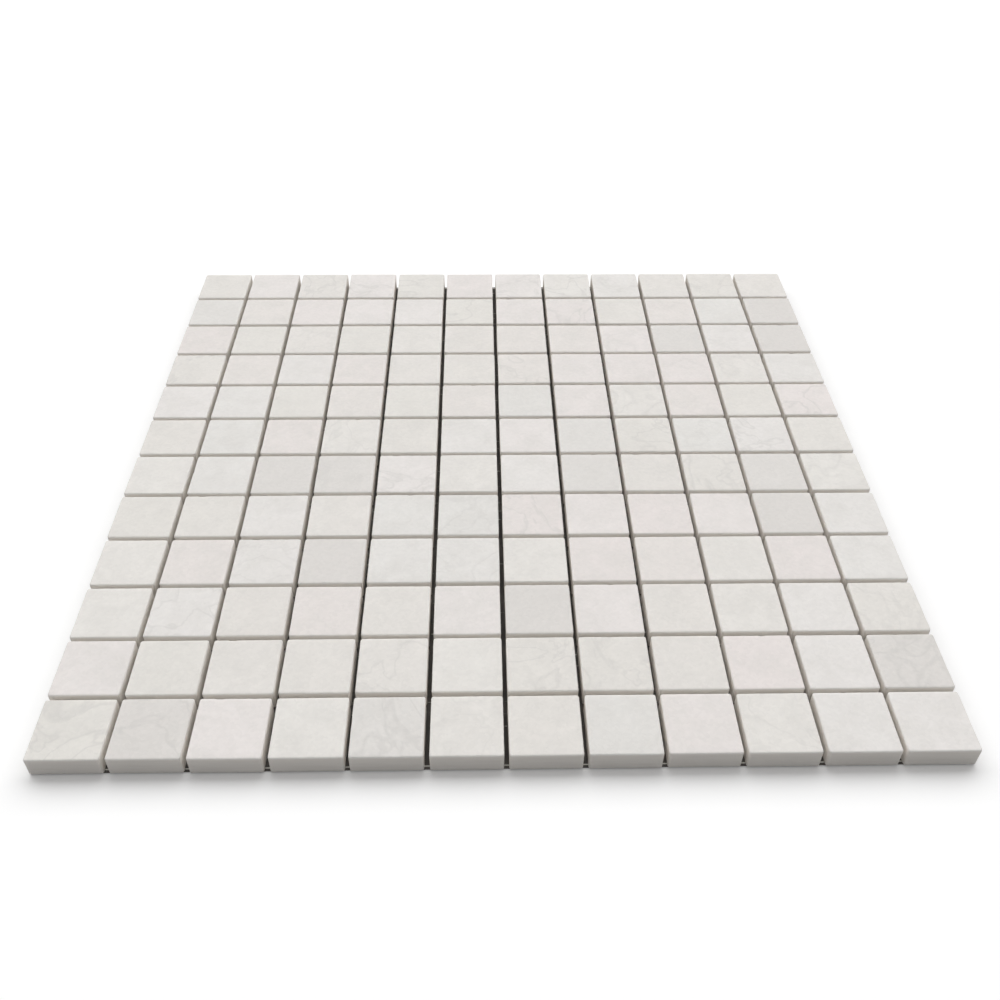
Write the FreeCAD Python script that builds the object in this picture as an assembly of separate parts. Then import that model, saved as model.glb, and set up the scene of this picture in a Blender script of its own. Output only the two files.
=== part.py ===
import FreeCAD, Part
import os

# Square mosaic sheet: rows of small stone tiles, laid in a straight grid with open joints
# and glued by their backs to a net of glass-fibre threads.
# Millimetres. The origin is the middle of the sheet's underside, +Z is up through the tiles'
# faces, and the first row of tiles is the one at -Y.

# Tiles
tiles_per_row = 12
rows = 12
tile_width = 23.8
tile_thickness = 7.5
joint_width = 1.6
arris_width = 0.4

# Net on the back
thread_spacing = 5.08
thread_width = 0.7
net_thickness = 0.5
net_edge_margin = 1.0
net_panels_per_side = 3

# Grid of tiles, worked out from the sizes above
tile_pitch = tile_width + joint_width
sheet_length_x = tiles_per_row * tile_pitch - joint_width
sheet_length_y = rows * tile_pitch - joint_width
tile_underside = net_thickness


def count_openings(sheet_length):
    """How many openings of the net fit across the sheet.

    The number is odd, so that the joint in the middle of the sheet falls on an opening and no
    thread runs along it.
    """
    room = sheet_length - 2 * net_edge_margin - thread_width
    fitting = int(room / thread_spacing)
    return fitting - (fitting + 1) % 2


openings_x = count_openings(sheet_length_x)
openings_y = count_openings(sheet_length_y)


def rectangle(low_x, low_y, high_x, high_y):
    """A closed rectangular wire on the ground plane."""
    corners = [(low_x, low_y), (high_x, low_y), (high_x, high_y), (low_x, high_y)]
    points = [FreeCAD.Vector(x, y, 0) for x, y in corners]
    return Part.makePolygon(points + points[:1])


def tile():
    """One tile with its back on the net, its middle on the Z axis and its upper edges eased."""
    corner = FreeCAD.Vector(-tile_width / 2, -tile_width / 2, tile_underside)
    block = Part.makeBox(tile_width, tile_width, tile_thickness, corner)
    top = tile_underside + tile_thickness
    upper_edges = [e for e in block.Edges if all(abs(v.Z - top) < 1e-6 for v in e.Vertexes)]
    return block.makeChamfer(arris_width, upper_edges)


def centred(index, count):
    """Place of one of a number of equal steps, counted from the middle of them all."""
    return index - (count - 1) / 2


def tile_row(row):
    """One row of tiles along X, as solids that stand a joint apart."""
    y = centred(row, rows) * tile_pitch
    one = tile()
    places = [centred(column, tiles_per_row) * tile_pitch for column in range(tiles_per_row)]
    return Part.makeCompound([one.translated(FreeCAD.Vector(x, y, 0)) for x in places])


def thread_place(index, openings):
    """Middle of one thread of the net, counted from the low edge of the sheet."""
    return (index - openings / 2) * thread_spacing


def panel_threads(panel, openings):
    """The first and last thread of one panel, of the panels that share the openings out."""
    return [round(edge * openings / net_panels_per_side) for edge in (panel, panel + 1)]


def net_panel(column, row):
    """One panel of the net: threads both ways, joined where they cross.

    Neighbouring panels meet along the middle of a thread, and the outermost threads are whole.
    """
    first_x, last_x = panel_threads(column, openings_x)
    first_y, last_y = panel_threads(row, openings_y)
    half = thread_width / 2
    outline = rectangle(
        thread_place(first_x, openings_x) - half * (first_x == 0),
        thread_place(first_y, openings_y) - half * (first_y == 0),
        thread_place(last_x, openings_x) + half * (last_x == openings_x),
        thread_place(last_y, openings_y) + half * (last_y == openings_y),
    )
    openings = []
    for across in range(first_x, last_x):
        for along in range(first_y, last_y):
            opening = rectangle(
                thread_place(across, openings_x) + half,
                thread_place(along, openings_y) + half,
                thread_place(across + 1, openings_x) - half,
                thread_place(along + 1, openings_y) - half,
            )
            openings.append(opening.reversed())
    return Part.Face([outline] + openings).extrude(FreeCAD.Vector(0, 0, net_thickness))


def save(shape, name):
    """Write one sub-part, named as its node."""
    shape.exportStep(os.path.join("parts", name + ".step"))


os.makedirs("parts", exist_ok=True)
for row in range(rows):
    save(tile_row(row), f"tile_row_{row + 1:02d}")
for row in range(net_panels_per_side):
    for column in range(net_panels_per_side):
        save(net_panel(column, row), f"net_panel_{row + 1}_{column + 1}")
print(f"sheet {sheet_length_x:.1f} x {sheet_length_y:.1f} x {net_thickness + tile_thickness:.1f} mm")
print(f"net {openings_x} x {openings_y} openings")
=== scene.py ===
# %% [markdown]
# Mosaic tile sheet
#
# The real thing is a square of small marble tiles. Each one was sawn from a slab, its face was
# honed flat and nearly matt, and its arrises were eased. The tiles are laid face down in a jig, a
# coat of adhesive goes on their backs, and a net of glass-fibre threads is pressed into it. The
# sheet then lifts as one and bends along its joints.
#
# The lesson goes the same way: the sizes, one tile, the rows, the net, the adhesive, and then
# the finish of each, the light and the camera.

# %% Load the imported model
import math
import random

import bmesh
import bpy
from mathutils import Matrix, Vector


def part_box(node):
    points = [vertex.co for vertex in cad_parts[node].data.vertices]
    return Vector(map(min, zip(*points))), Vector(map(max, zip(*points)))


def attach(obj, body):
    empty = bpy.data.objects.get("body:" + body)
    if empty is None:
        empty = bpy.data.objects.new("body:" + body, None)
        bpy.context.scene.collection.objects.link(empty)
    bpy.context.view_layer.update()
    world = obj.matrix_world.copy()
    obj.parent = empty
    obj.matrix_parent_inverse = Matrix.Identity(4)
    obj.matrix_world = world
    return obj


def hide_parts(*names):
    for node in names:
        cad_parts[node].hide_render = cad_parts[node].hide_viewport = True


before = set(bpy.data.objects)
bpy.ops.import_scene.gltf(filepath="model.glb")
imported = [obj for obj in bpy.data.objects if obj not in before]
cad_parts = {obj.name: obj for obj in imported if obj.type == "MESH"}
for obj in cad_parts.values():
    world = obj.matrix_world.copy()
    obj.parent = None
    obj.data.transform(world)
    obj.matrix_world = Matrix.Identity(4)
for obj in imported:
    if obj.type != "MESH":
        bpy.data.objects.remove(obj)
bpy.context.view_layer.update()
print("nodes loaded:", len(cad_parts))

# %% [markdown]
# The sheet's driving sizes are read from the loaded nodes, so that the pieces here always fit
# them: a row of tiles gives the tile's width, two rows give the pitch, and the underside of a
# tile is the top of the net. What the nodes don't hold, such as how far an arris is worn, is a
# named value in metres.

# %% Sizes of the sheet
MM = 0.001
row_names = sorted(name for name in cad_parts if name.startswith("tile_row"))
net_names = sorted(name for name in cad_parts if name.startswith("net_panel"))
first_row_low, first_row_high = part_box(row_names[0])
second_row_low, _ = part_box(row_names[1])

tile_width = first_row_high[1] - first_row_low[1]
tile_pitch = second_row_low[1] - first_row_low[1]
joint_width = tile_pitch - tile_width
net_top = first_row_low[2]
face_top = first_row_high[2]
tile_height = face_top - net_top
rows = len(row_names)
tiles_per_row = round((first_row_high[0] - first_row_low[0] + joint_width) / tile_pitch)
sheet_half = tiles_per_row * tile_pitch / 2 - joint_width / 2
print(f"tile {tile_width / MM:.1f} mm, joint {joint_width / MM:.1f} mm, {tiles_per_row} x {rows}")

# %% [markdown]
# A few small helpers carry the whole model. Blender's operators act on whatever is selected, so
# one helper leaves nothing selected, and one picks vertices, edges or faces by a test on their
# place, as a hand with a mouse would. The others apply modifiers and count triangles.

# %% Helpers for modelling by hand
def deselect():
    """Leave edit mode and select nothing."""
    if bpy.context.object and bpy.context.object.mode == "EDIT":
        bpy.ops.object.mode_set(mode="OBJECT")
    bpy.ops.object.select_all(action="DESELECT")


def pick(piece, kind, wanted):
    """In edit mode, select only the vertices, edges or faces that pass a test."""
    bpy.ops.mesh.select_mode(type=kind)
    bpy.ops.mesh.select_all(action="DESELECT")
    mesh = bmesh.from_edit_mesh(piece.data)
    elements = {"VERT": mesh.verts, "EDGE": mesh.edges, "FACE": mesh.faces}[kind]
    for element in elements:
        if wanted(element):
            element.select_set(True)
    mesh.select_flush_mode()
    bmesh.update_edit_mesh(piece.data)


def apply_modifiers(piece):
    """Apply the modifiers of the active piece, from the top down."""
    for modifier in list(piece.modifiers):
        bpy.ops.object.modifier_apply(modifier=modifier.name)


def triangles(piece):
    """How many triangles a piece has."""
    return sum(len(face.vertices) - 2 for face in piece.data.polygons)


# %% [markdown]
# A marble tile
#
# A sawn block has square sides and a crisp rim. Honing and handling then round the rim a few
# tenths of a millimetre, never quite evenly, and knock small flakes off it. A cube with a bevel
# modifier would have a rim as even as plastic, so the rim is bevelled in edit mode, cut into
# short lengths, a few flakes are pressed in, and the whole rim is shaken a little. The face stays
# flat, because honing comes last. Six tiles are modelled this way. With their quarter turns they
# are enough for the whole sheet.

# %% Model the pattern tiles
arris = 0.42 * MM
corner_round = 0.7 * MM
back_edge = 0.15 * MM
round_segments = 2
saw_allowance = 0.1 * MM
arris_cuts = 22
arris_unevenness = 0.045 * MM
face_band = 1.5 * arris_unevenness  # what lies this near the face is honed back to it
smooth_slopes = (0.05, 0.995)  # upward part of the normals that are shaded as round
pattern_count = 6
flakes_per_tile = (0, 3)
flake_reach = (0.6 * MM, 1.3 * MM)
flake_depth = (0.1 * MM, 0.3 * MM)
flake_span = 0.95  # share of a side that can lose a flake
hair = 0.02 * MM  # small enough to tell two edges apart


def on_rim(vertex):
    """Whether a vertex belongs to the eased rim of the tile's face."""
    return vertex.co.z > tile_height - arris - hair


def press_flake(tile, dice):
    """Dent a short stretch of the rim, where a flake has come off."""
    half = tile_width / 2
    along = dice.uniform(-flake_span, flake_span) * half
    side = dice.choice([(1, 0), (-1, 0), (0, 1), (0, -1)])
    middle = (side[0] * half + abs(side[1]) * along, side[1] * half + abs(side[0]) * along)
    reach = dice.uniform(*flake_reach)
    depth = dice.uniform(*flake_depth)
    inward = (-side[0] * depth, -side[1] * depth, 0)
    halfway = (inward[0] / 2, inward[1] / 2, -depth / 2)
    downward = (0, 0, -depth)
    edge_of_face = tile_height - hair
    edge_of_side = tile_height - arris + hair

    def near(vertex):
        return math.dist(vertex.co[:2], middle) < reach

    pick(tile, "VERT", lambda v: near(v) and v.co.z > edge_of_face)
    bpy.ops.transform.translate(value=inward)
    pick(tile, "VERT", lambda v: near(v) and edge_of_side < v.co.z < edge_of_face)
    bpy.ops.transform.translate(value=halfway)
    pick(tile, "VERT", lambda v: near(v) and on_rim(v) and v.co.z < edge_of_side)
    bpy.ops.transform.translate(value=downward)


def model_tile(number):
    """One tile with its back on z = 0 and its middle on the Z axis."""
    dice = random.Random(number)
    deselect()
    bpy.ops.mesh.primitive_cube_add(size=1, location=(0, 0, tile_height / 2))
    tile = bpy.context.object
    side = tile_width - saw_allowance
    tile.scale = (side, side, tile_height)
    bpy.ops.object.transform_apply(location=True, rotation=True, scale=True)
    bpy.ops.object.mode_set(mode="EDIT")

    pick(tile, "EDGE", lambda e: abs(e.verts[0].co.z - e.verts[1].co.z) > tile_height / 2)
    bpy.ops.mesh.bevel(offset=corner_round, segments=round_segments, affect="EDGES")
    pick(tile, "EDGE", lambda e: all(v.co.z > tile_height - hair for v in e.verts))
    bpy.ops.mesh.bevel(offset=arris, segments=round_segments, affect="EDGES")
    pick(tile, "EDGE", lambda e: all(v.co.z < hair for v in e.verts))
    bpy.ops.mesh.bevel(offset=back_edge, segments=1, affect="EDGES")

    pick(tile, "EDGE", lambda e: all(on_rim(v) for v in e.verts) and e.calc_length() > side / 2)
    bpy.ops.mesh.subdivide(number_cuts=arris_cuts)
    for _ in range(dice.randint(*flakes_per_tile)):
        press_flake(tile, dice)
    pick(tile, "VERT", on_rim)
    bpy.ops.transform.vertex_random(offset=arris_unevenness, seed=number)
    pick(tile, "VERT", lambda v: v.co.z > tile_height - face_band)
    bpy.ops.transform.resize(value=(1, 1, 0), center_override=(0, 0, tile_height))

    pick(tile, "FACE", lambda f: True)
    bpy.ops.mesh.faces_shade_flat()
    pick(tile, "FACE", lambda f: smooth_slopes[0] < f.normal.z < smooth_slopes[1])
    bpy.ops.mesh.faces_shade_smooth()
    deselect()
    return tile


pattern_tiles = [model_tile(number + 1) for number in range(pattern_count)]
print("pattern tile:", triangles(pattern_tiles[0]), "triangles")

# %% [markdown]
# Rows of tiles
#
# Tiles dropped into a jig by hand are never quite true: each is off by about a tenth of a
# millimetre, turned by a fraction of a degree, and a hair thinner or thicker than the next. The
# eye reads a machine-made grid at once, so these small errors matter more than their size. Each
# row is one piece, because each row is one node, and it takes that node's place.

# %% Lay the rows
place_error = 0.09 * MM
turn_error = math.radians(0.22)
tilt_error = math.radians(0.12)
thickness_error = 0.012
thickness_spread = (0.4, 1.4)  # shares of that error by which a tile can be thin
laying = random.Random(31)


def lay_tile(column, row):
    """A copy of one pattern tile, set down in its place in the grid."""
    pattern = laying.choice(pattern_tiles)
    tile = pattern.copy()
    tile.data = pattern.data.copy()
    bpy.context.collection.objects.link(tile)
    middle_x = (column - (tiles_per_row - 1) / 2) * tile_pitch
    middle_y = (row - (rows - 1) / 2) * tile_pitch
    tile.location = (
        middle_x + laying.uniform(-place_error, place_error),
        middle_y + laying.uniform(-place_error, place_error),
        net_top,
    )
    tile.rotation_euler = (
        laying.uniform(-tilt_error, tilt_error),
        laying.uniform(-tilt_error, tilt_error),
        laying.randrange(4) * math.pi / 2 + laying.uniform(-turn_error, turn_error),
    )
    tile.scale.z = 1 - thickness_error * laying.uniform(*thickness_spread)
    return tile


def lay_row(row, node):
    """One row of tiles as one piece, in place of its node."""
    tiles = [lay_tile(column, row) for column in range(tiles_per_row)]
    deselect()
    for tile in tiles:
        tile.select_set(True)
    bpy.context.view_layer.objects.active = tiles[0]
    bpy.ops.object.join()
    bpy.ops.object.transform_apply(location=True, rotation=True, scale=True)
    piece = bpy.context.object
    piece.name = "marble_" + node
    piece.data.name = piece.name
    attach(piece, "root")
    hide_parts(node)
    return piece


tile_pieces = [lay_row(row, node) for row, node in enumerate(row_names)]
for pattern in pattern_tiles:
    bpy.data.objects.remove(pattern)
print("tiles:", sum(triangles(piece) for piece in tile_pieces), "triangles")

# %% [markdown]
# The net
#
# Glass-fibre net is woven loosely, and two yarns of the warp twist round each other so that they
# grip the weft between them. That twist keeps the openings square. A flat grid would show its
# bars lying in one plane, which no woven net does, so the yarns are modelled as they run: a weft
# is a flat band, and a warp is a pair of thin yarns, each half a turn further on at every
# crossing. One or two openings' length of a yarn is extruded ring by ring, and arrays repeat it.

# %% Sizes of the yarns
thread_spacing = 5.08 * MM
openings = 59
net_half = openings * thread_spacing / 2
net_middle = net_top / 2
net_clearance = 0.005 * MM
weft_width = 0.62 * MM
weft_thickness = 0.17 * MM
weft_corners = 8
weft_rings = 2
yarn_width = 0.3 * MM
yarn_thickness = 0.155 * MM
yarn_corners = 5
twist_radius_side = 0.2 * MM
twist_radius_up = (net_top - yarn_thickness) / 2 - net_clearance
yarn_rings = 4
weld_distance = 0.01 * MM
sway = 0.25 * MM
sway_length = 24 * MM
print(f"net: {openings} openings of {thread_spacing / MM:.2f} mm")


# %% Helpers for the yarns
def start_ring(width, thickness, corners, start, name):
    """The first ring of a yarn that runs along X."""
    deselect()
    bpy.ops.mesh.primitive_circle_add(vertices=corners, radius=0.5, fill_type="NOTHING")
    yarn = bpy.context.object
    yarn.name = name
    yarn.data.name = name
    yarn.rotation_euler = (math.pi / 2, 0, math.pi / 2)
    yarn.scale = (width, thickness, 1)
    bpy.ops.object.transform_apply(location=False, rotation=True, scale=True)
    yarn.location = start
    bpy.ops.object.transform_apply(location=True, rotation=False, scale=False)
    return yarn


def repeat(yarn, count, offset, weld):
    """Repeat what is there along an offset, and weld the joins if asked."""
    array = yarn.modifiers.new("repeat", "ARRAY")
    array.count = count
    array.use_relative_offset = False
    array.use_constant_offset = True
    array.constant_offset_displace = offset
    array.use_merge_vertices = weld
    array.merge_threshold = weld_distance


def close_ends(yarn):
    """Close the open ends of the yarns."""
    bpy.ops.object.mode_set(mode="EDIT")
    bpy.ops.mesh.select_mode(type="EDGE")
    bpy.ops.mesh.select_all(action="DESELECT")
    bpy.ops.mesh.select_non_manifold()
    bpy.ops.mesh.fill_holes(sides=0)
    bpy.ops.mesh.select_all(action="SELECT")
    bpy.ops.mesh.normals_make_consistent(inside=False)
    bpy.ops.mesh.faces_shade_smooth()
    bpy.ops.object.mode_set(mode="OBJECT")


def let_sway(yarn, axis, name):
    """Let the yarns wander a little sideways, as a soft net does."""
    clouds = bpy.data.textures.new(name, "CLOUDS")
    clouds.noise_scale = sway_length
    drift = yarn.modifiers.new("sway", "DISPLACE")
    drift.texture = clouds
    drift.texture_coords = "LOCAL"
    drift.direction = axis
    drift.mid_level = 0.5
    drift.strength = sway


# %% [markdown]
# The weft
#
# A weft yarn lies flat between the warps, like a ribbon. One opening's length of it is drawn out,
# repeated along the yarn, and welded into one band with closed ends. The whole band is then
# repeated across the net, which keeps every yarn a closed solid of its own.

# %% Weave the weft
def weave_weft():
    """All yarns along X: flat bands, held between the warps."""
    start = (-net_half, -net_half, net_middle)
    weft = start_ring(weft_width, weft_thickness, weft_corners, start, "net_weft")
    step = thread_spacing / weft_rings
    bpy.ops.object.mode_set(mode="EDIT")
    for ring in range(weft_rings):
        front = -net_half + ring * step
        pick(weft, "VERT", lambda v: v.co.x > front - hair)
        bpy.ops.mesh.extrude_region_move(TRANSFORM_OT_translate={"value": (step, 0, 0)})
    bpy.ops.object.mode_set(mode="OBJECT")
    repeat(weft, openings, (thread_spacing, 0, 0), True)
    apply_modifiers(weft)
    close_ends(weft)
    repeat(weft, openings + 1, (0, thread_spacing, 0), False)
    let_sway(weft, "Y", "weft sway")
    apply_modifiers(weft)
    return weft


# %% [markdown]
# The warps
#
# The two yarns of a warp go once round each other in every two openings, so the one that is on
# top at one weft is underneath at the next. Two curves along a helix would do it, but a ring that
# is drawn out in a few straight steps looks the same at this size and has far fewer faces. One
# yarn of every pair is made first, and the other is the same half a turn further on.

# %% Twist the warps
def twist_point(turn):
    """Where a yarn of the twisted pair is, sideways and up, at an angle of its twist."""
    return twist_radius_side * math.cos(turn), twist_radius_up * math.sin(turn)


def twist_warp(name, first_turn):
    """One yarn of each twisted pair, for all pairs. They run along X here and are then turned."""
    aside, up = twist_point(first_turn)
    start = (-net_half, aside - net_half, net_middle + up)
    warp = start_ring(yarn_width, yarn_thickness, yarn_corners, start, name)
    step = thread_spacing / yarn_rings
    bpy.ops.object.mode_set(mode="EDIT")
    for ring in range(2 * yarn_rings):
        front = -net_half + ring * step
        pick(warp, "VERT", lambda v: v.co.x > front - hair)
        before = twist_point(first_turn + math.pi * ring / yarn_rings)
        after = twist_point(first_turn + math.pi * (ring + 1) / yarn_rings)
        bpy.ops.mesh.extrude_region_move(
            TRANSFORM_OT_translate={"value": (step, after[0] - before[0], after[1] - before[1])}
        )
    bpy.ops.object.mode_set(mode="OBJECT")
    repeat(warp, (openings + 1) // 2, (2 * thread_spacing, 0, 0), True)
    apply_modifiers(warp)
    bpy.ops.object.mode_set(mode="EDIT")
    bpy.ops.mesh.select_all(action="SELECT")
    bpy.ops.mesh.bisect(
        plane_co=(net_half, 0, 0), plane_no=(1, 0, 0), use_fill=False, clear_outer=True
    )
    bpy.ops.object.mode_set(mode="OBJECT")
    close_ends(warp)
    repeat(warp, openings + 1, (0, thread_spacing, 0), False)
    apply_modifiers(warp)
    warp.rotation_euler = (0, 0, math.pi / 2)
    bpy.ops.object.transform_apply(location=False, rotation=True, scale=False)
    let_sway(warp, "X", name + " sway")
    apply_modifiers(warp)
    return warp


net_pieces = [
    weave_weft(),
    twist_warp("net_warp_over", math.pi / 2),
    twist_warp("net_warp_under", -math.pi / 2),
]
for piece in net_pieces:
    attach(piece, "root")
    print(piece.name, triangles(piece), "triangles")
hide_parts(*net_names)

# %% [markdown]
# The adhesive
#
# Seen from above, each joint ends in darkness: the net is bedded there in an adhesive that squeezed
# out from under the tiles and dried a little unevenly, and its dark grey is painted shade for the
# depths of the joints. Without it the floor would shine through the openings. A plain plate would
# fill the openings under the tiles as well, so a grid with one cell for each tile is inset, cell by
# cell, and the middles are deleted. What stays is a band along every joint, welded at the
# crossings. It is thinner than the net, so bits of thread show in the joints, and it stops just
# inside the sheet's edge.

# %% Spread the adhesive
bed_underside = 0.05 * MM
bed_thickness = 0.212 * MM
bed_squeeze = 0.5 * MM
bed_end = 0.6 * MM
bed_cuts = 9
bed_unevenness = 0.3 * MM
bed_seed = 3
bed_lift = 0.08 * MM  # height above the underside about which the bed is uneven
bed_flatness = 0.08  # share of the unevenness that is left up and down


def spread_adhesive():
    """A thin uneven band under every joint."""
    deselect()
    span = tiles_per_row * tile_pitch
    bpy.ops.mesh.primitive_grid_add(
        x_subdivisions=tiles_per_row, y_subdivisions=rows, size=span, location=(0, 0, bed_underside)
    )
    bed = bpy.context.object
    bed.name = "joint_adhesive"
    bed.data.name = bed.name
    bpy.ops.object.transform_apply(location=True, rotation=True, scale=True)
    bpy.ops.object.mode_set(mode="EDIT")
    band = joint_width / 2 + bed_squeeze
    pick(bed, "FACE", lambda f: True)
    bpy.ops.mesh.inset(thickness=band, use_individual=True, use_boundary=True)
    pick(bed, "FACE", lambda f: f.calc_area() > (tile_pitch / 2) ** 2)
    bpy.ops.mesh.delete(type="FACE")
    for way in ((1, 0, 0), (-1, 0, 0), (0, 1, 0), (0, -1, 0)):
        end = tuple(part * (sheet_half - bed_end) for part in way)
        bpy.ops.mesh.select_all(action="SELECT")
        bpy.ops.mesh.bisect(plane_co=end, plane_no=way, clear_outer=True)
    pick(bed, "EDGE", lambda e: e.calc_length() > tile_pitch / 2)
    bpy.ops.mesh.subdivide(number_cuts=bed_cuts)
    inside = sheet_half - bed_end - hair
    pick(bed, "VERT", lambda v: abs(v.co.x) < inside and abs(v.co.y) < inside)
    bpy.ops.transform.vertex_random(offset=bed_unevenness, seed=bed_seed)
    bpy.ops.transform.resize(
        value=(1, 1, bed_flatness), center_override=(0, 0, bed_underside + bed_lift)
    )
    deselect()
    bed.select_set(True)
    bpy.context.view_layer.objects.active = bed
    wall = bed.modifiers.new("thickness", "SOLIDIFY")
    wall.thickness = bed_thickness
    wall.offset = 1
    apply_modifiers(bed)
    return bed


adhesive = spread_adhesive()
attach(adhesive, "root")
print(adhesive.name, triangles(adhesive), "triangles")

# %% [markdown]
# Materials
#
# Every material is a network of nodes, which one helper adds with their settings and links.
# Colours are written as sRGB hex values, the way a colour card gives them, and turned to the
# linear values that light is worked out in. Patterns are laid out in millimetres of the object's
# own space, so each one has its real size and stays where it is when the camera moves. A Mix node
# has sockets for each kind of value: its colours are inputs 6 and 7 and output 2, and its plain
# numbers are inputs 2 and 3 and output 0.

# %% Helpers for materials
def srgb(card):
    """A colour card's hex value as linear red, green, blue and alpha."""
    parts = [int(card[i : i + 2], 16) / 255 for i in (0, 2, 4)]
    linear = [p / 12.92 if p <= 0.04045 else ((p + 0.055) / 1.055) ** 2.4 for p in parts]
    return (*linear, 1.0)


def add_node(tree, kind, settings=None, inputs=None):
    """Add one node, with its own settings and with a value or a link for each input named."""
    node = tree.nodes.new(kind)
    for name, value in (settings or {}).items():
        setattr(node, name, value)
    for name, value in (inputs or {}).items():
        socket = node.inputs[name]
        if isinstance(value, bpy.types.NodeSocket):
            tree.links.new(value, socket)
        else:
            socket.default_value = value
    return node


def new_material(name):
    """An empty material, its node tree, and the place on the object in metres and millimetres."""
    material = bpy.data.materials.new(name)
    material.use_nodes = True
    tree = material.node_tree
    tree.nodes.clear()
    place = add_node(tree, "ShaderNodeTexCoord").outputs["Object"]
    place_mm = add_node(
        tree, "ShaderNodeVectorMath", {"operation": "SCALE"}, {0: place, "Scale": 1 / MM}
    ).outputs[0]
    return material, tree, place, place_mm


def fill_ramp(ramp, stops):
    """Give a colour ramp its stops, each a place and a colour."""
    while len(ramp.elements) > 1:
        ramp.elements.remove(ramp.elements[-1])
    for index, (place, colour) in enumerate(stops):
        element = ramp.elements[0] if index == 0 else ramp.elements.new(place)
        element.position = place
        element.color = colour


# %% [markdown]
# White marble, tile by tile
#
# No two tiles come from the same spot in the slab, so each has its own tone: warm, grey,
# greenish or pinkish white. The tones could be painted on one by one, but a white-noise texture
# does it for any number of tiles: the position divided by the pitch and rounded down is the
# number of the grid's cell, and each number draws a lot. The lot picks the tone, and later the
# slice of the stone's pattern, so that no cloud runs across a joint.

# %% A lot and a tone for each tile
lot_seed = 4.0
tile_tones = [  # the lot at which each tone is pure, and the tone
    (0.00, "E8E5E0"),
    (0.22, "E6E2DD"),
    (0.40, "E5E2DC"),
    (0.56, "E8E1DE"),
    (0.72, "EAE6E3"),
    (0.84, "E5E3DF"),
    (0.95, "DEDAD6"),
]
print("tones:", len(tile_tones))


def draw_lots(tree, place):
    """Three random numbers for each tile, and the tile's tone."""
    cells = add_node(
        tree, "ShaderNodeVectorMath", {"operation": "SCALE"}, {0: place, "Scale": 1 / tile_pitch}
    ).outputs[0]
    cell = add_node(tree, "ShaderNodeVectorMath", {"operation": "FLOOR"}, {0: cells}).outputs[0]
    number = add_node(tree, "ShaderNodeSeparateXYZ", {}, {0: cell})
    flat_number = add_node(
        tree,
        "ShaderNodeCombineXYZ",
        {},
        {0: number.outputs[0], 1: number.outputs[1], 2: 0.0},
    ).outputs[0]
    lot = add_node(
        tree,
        "ShaderNodeTexWhiteNoise",
        {"noise_dimensions": "4D"},
        {"Vector": flat_number, "W": lot_seed},
    )
    lots = add_node(tree, "ShaderNodeSeparateColor", {}, {0: lot.outputs["Color"]}).outputs
    tone = add_node(tree, "ShaderNodeValToRGB", {}, {0: lot.outputs["Value"]})
    fill_ramp(tone.color_ramp, [(at, srgb(card)) for at, card in tile_tones])
    return lots, tone.outputs[0]


# %% [markdown]
# Clouds and veins
#
# The grey in white marble is clay or graphite that was smeared out while the rock was hot. Most
# of it is in soft clouds about a centimetre across, and some tiles are crossed by thin folded
# veins. A noise texture gives the clouds. For the veins, the line where a second, slower noise
# passes its middle value is drawn thin, which makes one unbroken wandering line.

# %% Clouds and veins
cloud_size = 11.0
cloud_card = "D7D4CF"
cloud_levels = (0.38, 0.72)  # the noise at which a cloud starts and is full
cloud_share = 0.5
vein_size = 26.0
vein_card = "CBC8C4"
vein_halfwidth = 0.035
veined_from = 0.6  # tiles with a higher lot have veins
vein_share = 0.4


def cloud_stone(tree, place_mm, slice_number, tone):
    """The tile's tone with soft grey clouds in it."""
    clouds = add_node(
        tree,
        "ShaderNodeTexNoise",
        {"noise_dimensions": "4D"},
        {
            "Vector": place_mm,
            "W": slice_number,
            "Scale": 1 / cloud_size,
            "Detail": 5.0,
            "Roughness": 0.6,
            "Distortion": 0.7,
        },
    ).outputs[0]
    share = add_node(
        tree,
        "ShaderNodeMapRange",
        {},
        {
            "Value": clouds,
            "From Min": cloud_levels[0],
            "From Max": cloud_levels[1],
            "To Min": 0.0,
            "To Max": cloud_share,
        },
    ).outputs[0]
    return add_node(
        tree, "ShaderNodeMix", {"data_type": "RGBA"}, {0: share, 6: tone, 7: srgb(cloud_card)}
    ).outputs[2]


def vein_stone(tree, place_mm, slice_number, vein_lot, clouded):
    """Thin grey veins, on the tiles that drew a high lot."""
    folds = add_node(
        tree,
        "ShaderNodeTexNoise",
        {"noise_dimensions": "4D"},
        {
            "Vector": place_mm,
            "W": slice_number,
            "Scale": 1 / vein_size,
            "Detail": 3.0,
            "Roughness": 0.5,
            "Distortion": 1.4,
        },
    ).outputs[0]
    from_middle = add_node(
        tree, "ShaderNodeMath", {"operation": "SUBTRACT"}, {0: folds, 1: 0.5}
    ).outputs[0]
    distance = add_node(tree, "ShaderNodeMath", {"operation": "ABSOLUTE"}, {0: from_middle})
    line = add_node(
        tree,
        "ShaderNodeMapRange",
        {"interpolation_type": "SMOOTHSTEP"},
        {"Value": distance.outputs[0], "From Max": vein_halfwidth, "To Min": 1.0, "To Max": 0.0},
    ).outputs[0]
    presence = add_node(
        tree,
        "ShaderNodeMapRange",
        {},
        {"Value": vein_lot, "From Min": veined_from, "To Min": 0.0, "To Max": vein_share},
    ).outputs[0]
    share = add_node(
        tree, "ShaderNodeMath", {"operation": "MULTIPLY"}, {0: line, 1: presence}
    ).outputs[0]
    return add_node(
        tree, "ShaderNodeMix", {"data_type": "RGBA"}, {0: share, 6: clouded, 7: srgb(vein_card)}
    ).outputs[2]


# %% [markdown]
# Crystals
#
# Marble is interlocked crystals of calcite or dolomite, about a millimetre across, each turned
# its own way, so each takes the light and the hone a little differently. Voronoi cells are the
# usual stand-in for grains. Their straight borders look cut, so a noise shakes their coordinates
# first, and the borders wander.

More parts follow.
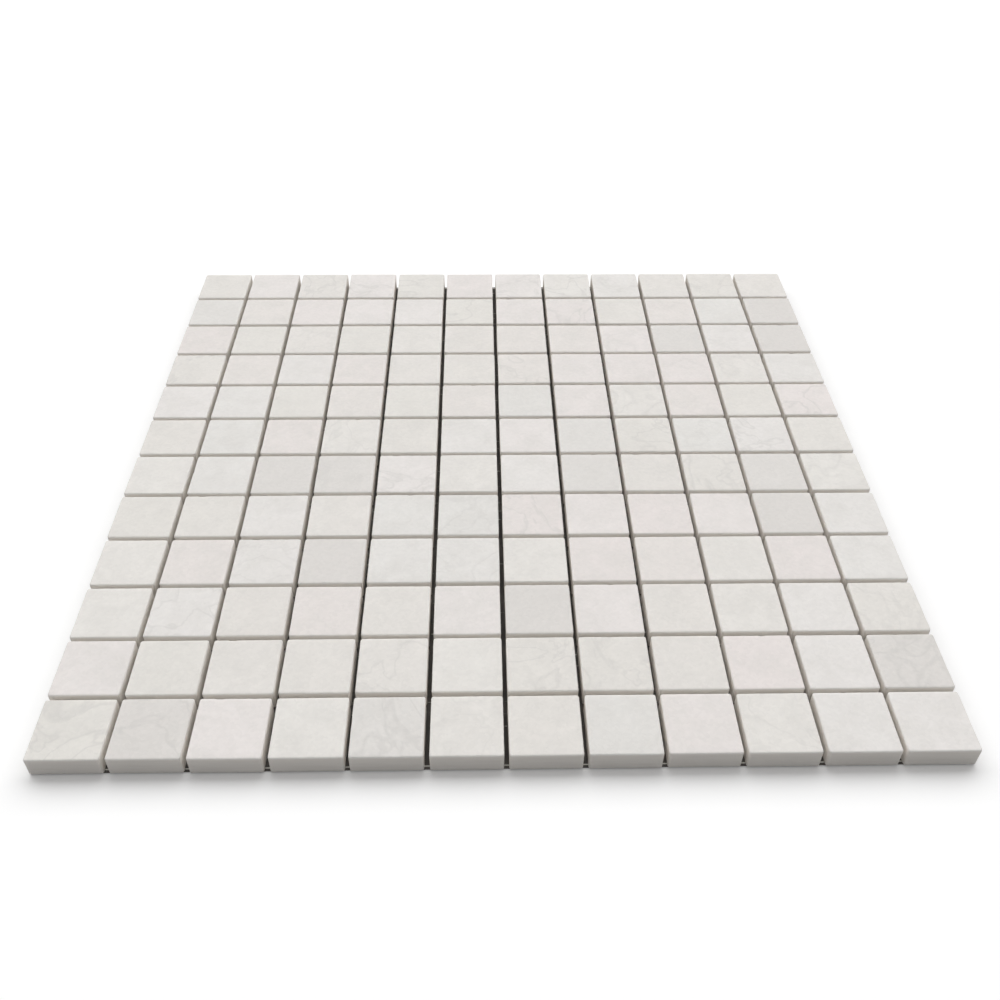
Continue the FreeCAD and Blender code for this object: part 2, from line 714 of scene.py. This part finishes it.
# %% Crystals
crystal_size = 1.1
border_wave = 0.7
crystal_shades = (0.97, 1.02)
honed_roughness = (0.58, 0.7)


def grow_crystals(tree, place_mm, veined):
    """The stone's colour broken up by its crystals, and the honed face's roughness."""
    wander = add_node(
        tree,
        "ShaderNodeTexNoise",
        {},
        {"Vector": place_mm, "Scale": 1 / border_wave, "Detail": 2.0},
    ).outputs[1]
    wandered = add_node(
        tree, "ShaderNodeVectorMath", {"operation": "ADD"}, {0: place_mm, 1: wander}
    ).outputs[0]
    crystals = add_node(
        tree, "ShaderNodeTexVoronoi", {}, {"Vector": wandered, "Scale": 1 / crystal_size}
    )
    each = add_node(tree, "ShaderNodeSeparateColor", {}, {0: crystals.outputs["Color"]})
    shade = add_node(
        tree,
        "ShaderNodeMapRange",
        {},
        {
            "Value": each.outputs[0],
            "To Min": crystal_shades[0],
            "To Max": crystal_shades[1],
        },
    ).outputs[0]
    honed = add_node(
        tree, "ShaderNodeVectorMath", {"operation": "MULTIPLY"}, {0: veined, 1: shade}
    ).outputs[0]
    gloss = add_node(
        tree,
        "ShaderNodeMapRange",
        {},
        {
            "Value": each.outputs[1],
            "To Min": honed_roughness[0],
            "To Max": honed_roughness[1],
        },
    ).outputs[0]
    return honed, gloss


# %% [markdown]
# Arris and sides
#
# The face is honed, the arris is paler, partly the white of a bruise from handling and partly a
# painted highlight, and the sides are as the saw left them: rough, with fine lines the way the
# blade ran. The true normal tells the three apart, because the face looks up, a side looks sideways
# and the arris is between them.

# %% Arris and sides
side_slopes = (0.15, 0.45)  # upward part of the normal, from all side to none
arris_slopes = (0.75, 0.985)  # and from all arris to none
# the arris is made paler: partly a bruise from handling, partly a painted highlight
bruise_and_highlight_share = 0.55
bruise_and_highlight_card = "F1EFEC"
sawn_cards = ("E4DFD9", "F0ECE6")
sawn_roughness = 0.75
saw_line_spacing = 0.8
saw_line_length = 16.0
pit_size = 0.45
relief_depth = 0.3 * MM
relief_strengths = (0.03, 0.35)  # on the honed face, and on a sawn side


def part_by_slope(tree):
    """How much a point belongs to a side, and how much to the arris."""
    facing = add_node(tree, "ShaderNodeNewGeometry").outputs["True Normal"]
    upward = add_node(tree, "ShaderNodeSeparateXYZ", {}, {0: facing}).outputs[2]
    side_share = add_node(
        tree,
        "ShaderNodeMapRange",
        {"interpolation_type": "SMOOTHSTEP"},
        {
            "Value": upward,
            "From Min": side_slopes[0],
            "From Max": side_slopes[1],
            "To Min": 1.0,
            "To Max": 0.0,
        },
    ).outputs[0]
    # the share of the arris's pale colour, which is a bruise and a painted highlight
    arris_bruise_and_highlight = add_node(
        tree,
        "ShaderNodeMapRange",
        {"interpolation_type": "SMOOTHSTEP"},
        {
            "Value": upward,
            "From Min": arris_slopes[0],
            "From Max": arris_slopes[1],
            "To Min": bruise_and_highlight_share,
            "To Max": 0.0,
        },
    ).outputs[0]
    return side_share, arris_bruise_and_highlight


def saw_lines(tree, place_mm):
    """Fine level lines along the sides."""
    per_line = (1 / saw_line_length, 1 / saw_line_length, 1 / saw_line_spacing)
    stretched = add_node(
        tree, "ShaderNodeMapping", {}, {"Vector": place_mm, "Scale": per_line}
    ).outputs[0]
    return add_node(
        tree,
        "ShaderNodeTexNoise",
        {},
        {"Vector": stretched, "Scale": 1.0, "Detail": 4.0, "Roughness": 0.65},
    ).outputs[0]


def colour_sides(tree, honed, side_share, arris_bruise_and_highlight, lines):
    """The face's colour with a paler arris, a bruise and a painted highlight, and sawn sides."""
    # pale arris colour: a bruise and a painted highlight
    with_bruise_and_highlight = add_node(
        tree,
        "ShaderNodeMix",
        {"data_type": "RGBA"},
        {0: arris_bruise_and_highlight, 6: honed, 7: srgb(bruise_and_highlight_card)},
    ).outputs[2]
    sawn = add_node(
        tree,
        "ShaderNodeMix",
        {"data_type": "RGBA"},
        {0: lines, 6: srgb(sawn_cards[0]), 7: srgb(sawn_cards[1])},
    ).outputs[2]
    return add_node(
        tree, "ShaderNodeMix", {"data_type": "RGBA"}, {0: side_share, 6: with_bruise_and_highlight, 7: sawn}
    ).outputs[2]


def press_relief(tree, place_mm, side_share, lines):
    """Hardly any relief on the honed face, and the saw's lines on the sides."""
    pits = add_node(
        tree,
        "ShaderNodeTexNoise",
        {},
        {"Vector": place_mm, "Scale": 1 / pit_size, "Detail": 3.0, "Roughness": 0.7},
    ).outputs[0]
    relief = add_node(
        tree, "ShaderNodeMix", {"data_type": "FLOAT"}, {0: side_share, 2: pits, 3: lines}
    ).outputs[0]
    strength = add_node(
        tree,
        "ShaderNodeMapRange",
        {},
        {"Value": side_share, "To Min": relief_strengths[0], "To Max": relief_strengths[1]},
    ).outputs[0]
    return add_node(
        tree,
        "ShaderNodeBump",
        {},
        {"Height": relief, "Strength": strength, "Distance": relief_depth},
    ).outputs[0]


# %% [markdown]
# Honed white marble
#
# The last thing that makes marble look like marble is that light goes into it. It travels two
# or three millimetres between the crystals and comes out again, which softens every edge and
# lets the walls of the narrow joints glow a little. That is the shader's subsurface share. A
# hone leaves a nearly matt face, so the roughness is about two thirds, and calcite bends light
# by 1.5.

# %% Honed white marble
glow_share = 0.6
glow_reach = (2.4, 2.3, 2.2)  # millimetres, for red, green and blue
marble_ior = 1.5
slices = 90.0  # the lots are spread over this much of the stone's pattern


def make_marble():
    """Honed face, sawn sides and a pale arris, partly bruise and partly painted highlight."""
    material, tree, place, place_mm = new_material("honed_white_marble")
    lots, tone = draw_lots(tree, place)
    slice_number = add_node(
        tree, "ShaderNodeMath", {"operation": "MULTIPLY"}, {0: lots[0], 1: slices}
    ).outputs[0]
    clouded = cloud_stone(tree, place_mm, slice_number, tone)
    veined = vein_stone(tree, place_mm, slice_number, lots[1], clouded)
    honed, gloss = grow_crystals(tree, place_mm, veined)
    side_share, arris_bruise_and_highlight = part_by_slope(tree)
    lines = saw_lines(tree, place_mm)
    roughness = add_node(
        tree, "ShaderNodeMix", {"data_type": "FLOAT"}, {0: side_share, 2: gloss, 3: sawn_roughness}
    ).outputs[0]
    shader = add_node(
        tree,
        "ShaderNodeBsdfPrincipled",
        {"subsurface_method": "BURLEY"},
        {
            "Base Color": colour_sides(tree, honed, side_share, arris_bruise_and_highlight, lines),
            "Roughness": roughness,
            "IOR": marble_ior,
            "Normal": press_relief(tree, place_mm, side_share, lines),
            "Subsurface Weight": glow_share,
            "Subsurface Radius": glow_reach,
            "Subsurface Scale": MM,
        },
    )
    add_node(tree, "ShaderNodeOutputMaterial", {}, {"Surface": shader.outputs[0]})
    return material


marble = make_marble()
for piece in tile_pieces:
    piece.data.materials.clear()
    piece.data.materials.append(marble)
print("marble:", len(marble.node_tree.nodes), "nodes")

# %% [markdown]
# Coated glass-fibre yarn
#
# The yarn is hundreds of white glass filaments, dipped in a milky coating against the lime of
# the mortar. The coating fills the twist and dries to a dull, slightly yellow sheen, with short
# dull and bright stretches where it is thin. The filaments are far finer than the render shows,
# so their streaks are drawn a few tenths of a millimetre wide.

# %% Coated glass-fibre yarn
coat_patch = 2.9
coat_cards = ("CFCDC4", "E3E2DC")
coat_roughness = (0.4, 0.65)
coat_ior = 1.5
filament_streak = 0.3
streak_depth = 0.05 * MM


def make_yarn():
    """White filaments in a milky coating."""
    material, tree, _, place_mm = new_material("coated_glass_fibre")
    coat = add_node(
        tree,
        "ShaderNodeTexNoise",
        {},
        {"Vector": place_mm, "Scale": 1 / coat_patch, "Detail": 3.0, "Roughness": 0.6},
    ).outputs[0]
    streaks = add_node(
        tree,
        "ShaderNodeTexNoise",
        {},
        {"Vector": place_mm, "Scale": 1 / filament_streak, "Detail": 2.0, "Roughness": 0.6},
    ).outputs[0]
    colour = add_node(
        tree,
        "ShaderNodeMix",
        {"data_type": "RGBA"},
        {0: coat, 6: srgb(coat_cards[0]), 7: srgb(coat_cards[1])},
    ).outputs[2]
    roughness = add_node(
        tree,
        "ShaderNodeMapRange",
        {},
        {"Value": coat, "To Min": coat_roughness[0], "To Max": coat_roughness[1]},
    ).outputs[0]
    bump = add_node(
        tree,
        "ShaderNodeBump",
        {},
        {"Height": streaks, "Strength": 0.4, "Distance": streak_depth},
    ).outputs[0]
    shader = add_node(
        tree,
        "ShaderNodeBsdfPrincipled",
        {},
        {"Base Color": colour, "Roughness": roughness, "IOR": coat_ior, "Normal": bump},
    )
    add_node(tree, "ShaderNodeOutputMaterial", {}, {"Surface": shader.outputs[0]})
    return material


yarn = make_yarn()
for piece in net_pieces:
    piece.data.materials.clear()
    piece.data.materials.append(yarn)
print("yarn:", len(yarn.node_tree.nodes), "nodes")

# %% [markdown]
# Dried adhesive
#
# The adhesive is a cement-filled polymer, matt, with a fine sandy grit and a few paler smears where
# it ran thin. Its dark grey is painted shade: down in a joint hardly any light reaches it, so it
# looks nearly black.

# %% Dried adhesive
smear_size = 3.3
# dark grey as painted shade for the depths of the joints, with paler smears
shade_and_smear_cards = ("4A4744", "64605C")
grit_size = 0.35
grit_depth = 0.2 * MM
dried_roughness = 0.8
dried_ior = 1.5


def make_adhesive():
    """Dark grey as painted shade, matt and slightly gritty."""
    material, tree, _, place_mm = new_material("grey_adhesive_painted_shade")
    smears = add_node(
        tree,
        "ShaderNodeTexNoise",
        {},
        {"Vector": place_mm, "Scale": 1 / smear_size, "Detail": 4.0, "Roughness": 0.6},
    ).outputs[0]
    grit = add_node(
        tree,
        "ShaderNodeTexNoise",
        {},
        {"Vector": place_mm, "Scale": 1 / grit_size, "Detail": 2.0, "Roughness": 0.5},
    ).outputs[0]
    colour = add_node(
        tree,
        "ShaderNodeMix",
        {"data_type": "RGBA"},
        {0: smears, 6: srgb(shade_and_smear_cards[0]), 7: srgb(shade_and_smear_cards[1])},
    ).outputs[2]
    bump = add_node(
        tree,
        "ShaderNodeBump",
        {},
        {"Height": grit, "Strength": 0.8, "Distance": grit_depth},
    ).outputs[0]
    shader = add_node(
        tree,
        "ShaderNodeBsdfPrincipled",
        {},
        {"Base Color": colour, "Roughness": dried_roughness, "IOR": dried_ior, "Normal": bump},
    )
    add_node(tree, "ShaderNodeOutputMaterial", {}, {"Surface": shader.outputs[0]})
    return material


adhesive_shade_material = make_adhesive()
adhesive.data.materials.clear()
adhesive.data.materials.append(adhesive_shade_material)
print("adhesive:", len(adhesive_shade_material.node_tree.nodes), "nodes")

# %% [markdown]
# The studio
#
# The sheet lies on a white floor under a soft light that comes from behind and above. The faces
# catch it, the edge that faces the camera doesn't, and a soft shadow falls forward. More light
# would turn the floor white, but it would burn out the stone as well. So the floor and the sky
# are paler only to the rays that look at them, from the camera or by way of a reflection. To
# the rays that carry their light to the stone they stay dim. The floor is a matt shader in both
# cases, so the shadow on it stays in place. Well away from the sheet it glows a little more, so
# that it meets the sky without a line.

# %% Floor
white = srgb("FFFFFF")
floor_size = 2.4
floor_gap = 0.02 * MM
floor_card = "B8B8B8"
extra_card = "C6C6C6"  # what the floor is paler by to the rays that look at it
near_glow = 0.05
far_glow = 0.3
near_reach = 0.3  # metres from the middle, where the glow starts to grow
far_reach = 0.6  # and where it is full

deselect()
bpy.ops.mesh.primitive_plane_add(size=floor_size, location=(0, 0, -floor_gap))
floor = bpy.context.object
floor.name = "floor"
bpy.ops.object.transform_apply(location=True, rotation=True, scale=True)


def looked_at(tree):
    """One for rays from the camera, reflected or straight through, and nought for the others."""
    path = add_node(tree, "ShaderNodeLightPath").outputs
    reflected = add_node(
        tree,
        "ShaderNodeMath",
        {"operation": "MAXIMUM"},
        {0: path["Is Glossy Ray"], 1: path["Is Transmission Ray"]},
    ).outputs[0]
    return add_node(
        tree, "ShaderNodeMath", {"operation": "MAXIMUM"}, {0: path["Is Camera Ray"], 1: reflected}
    ).outputs[0]


def make_floor():
    """White to the camera wherever no shadow falls, and a pale matt surface to the light."""
    material, tree, place, _ = new_material("white_floor")
    matt = add_node(tree, "ShaderNodeBsdfDiffuse", {}, {"Color": srgb(floor_card)})
    more = add_node(tree, "ShaderNodeBsdfDiffuse", {}, {"Color": srgb(extra_card)})
    distance = add_node(tree, "ShaderNodeVectorMath", {"operation": "LENGTH"}, {0: place})
    strength = add_node(
        tree,
        "ShaderNodeMapRange",
        {"interpolation_type": "SMOOTHSTEP"},
        {
            "Value": distance.outputs["Value"],
            "From Min": near_reach,
            "From Max": far_reach,
            "To Min": near_glow,
            "To Max": far_glow,
        },
    ).outputs[0]
    glow = add_node(tree, "ShaderNodeEmission", {}, {"Color": white, "Strength": strength})
    paler = add_node(tree, "ShaderNodeAddShader", {}, {0: matt.outputs[0], 1: more.outputs[0]})
    seen = add_node(tree, "ShaderNodeAddShader", {}, {0: paler.outputs[0], 1: glow.outputs[0]})
    both = add_node(
        tree,
        "ShaderNodeMixShader",
        {},
        {0: looked_at(tree), 1: matt.outputs[0], 2: seen.outputs[0]},
    )
    add_node(tree, "ShaderNodeOutputMaterial", {}, {"Surface": both.outputs[0]})
    return material


floor.data.materials.append(make_floor())
print("floor:", floor_size, "m square")

# %% [markdown]
# The sky
#
# The white walls of a studio light the sheet a little from all round, and an even white world
# does the same. It is dim to the stone, which keeps the joints dark, and plain white to the rays
# that look at it.

# %% Sky
sky_strength = 0.34


def make_sky():
    """A dim white sky to the stone, and a plain white one to the camera."""
    world = bpy.data.worlds.new("studio")
    world.use_nodes = True
    tree = world.node_tree
    tree.nodes.clear()
    dim = add_node(tree, "ShaderNodeBackground", {}, {"Color": white, "Strength": sky_strength})
    bright = add_node(tree, "ShaderNodeBackground", {}, {"Color": white, "Strength": 1.0})
    both = add_node(
        tree,
        "ShaderNodeMixShader",
        {},
        {0: looked_at(tree), 1: dim.outputs[0], 2: bright.outputs[0]},
    )
    add_node(tree, "ShaderNodeOutputWorld", {}, {"Surface": both.outputs[0]})
    return world


bpy.context.scene.world = make_sky()
print("sky:", sky_strength, "to the stone")

# %% [markdown]
# The lamp
#
# One very large soft box hangs behind the sheet and far above it. A small one would draw hard
# shadows, and a near one would light the back rows more than the front ones.

# %% Lamp
lamp_width = 78.0
lamp_height = 32.4
lamp_distance = 36.0
lamp_azimuth = math.radians(-4)
lamp_elevation = math.radians(51)
lamp_watts = 17370.0


def hang_lamp():
    """A soft rectangle of light that faces the middle of the sheet."""
    light = bpy.data.lights.new("key", "AREA")
    light.shape = "RECTANGLE"
    light.size = lamp_width
    light.size_y = lamp_height
    light.energy = lamp_watts
    lamp = bpy.data.objects.new("key", light)
    bpy.context.collection.objects.link(lamp)
    across = lamp_distance * math.cos(lamp_elevation)
    lamp.location = (
        across * math.sin(lamp_azimuth),
        across * math.cos(lamp_azimuth),
        lamp_distance * math.sin(lamp_elevation),
    )
    lamp.rotation_euler = (math.pi / 2 - lamp_elevation, 0, math.pi - lamp_azimuth)


hang_lamp()
print("lamp:", lamp_watts, "W at", lamp_distance, "m")

# %% [markdown]
# The camera
#
# The photo's four corners of the tiles' faces fix the camera: its lens, height, distance and the
# slight turn with which it was held.

# %% Camera
lens_mm = 37.9
sensor_mm = 36.0
camera_place = (-0.0079, -0.3469, 0.2878)
camera_turn = (48.58, -0.45, -1.04)
camera_near = 0.01

camera_data = bpy.data.cameras.new("camera")
camera_data.lens = lens_mm
camera_data.sensor_width = sensor_mm
camera_data.clip_start = camera_near
camera = bpy.data.objects.new("camera", camera_data)
bpy.context.collection.objects.link(camera)
camera.location = camera_place
camera.rotation_euler = [math.radians(angle) for angle in camera_turn]
bpy.context.scene.camera = camera
bpy.context.scene.view_settings.view_transform = "Standard"
print("camera:", lens_mm, "mm lens")
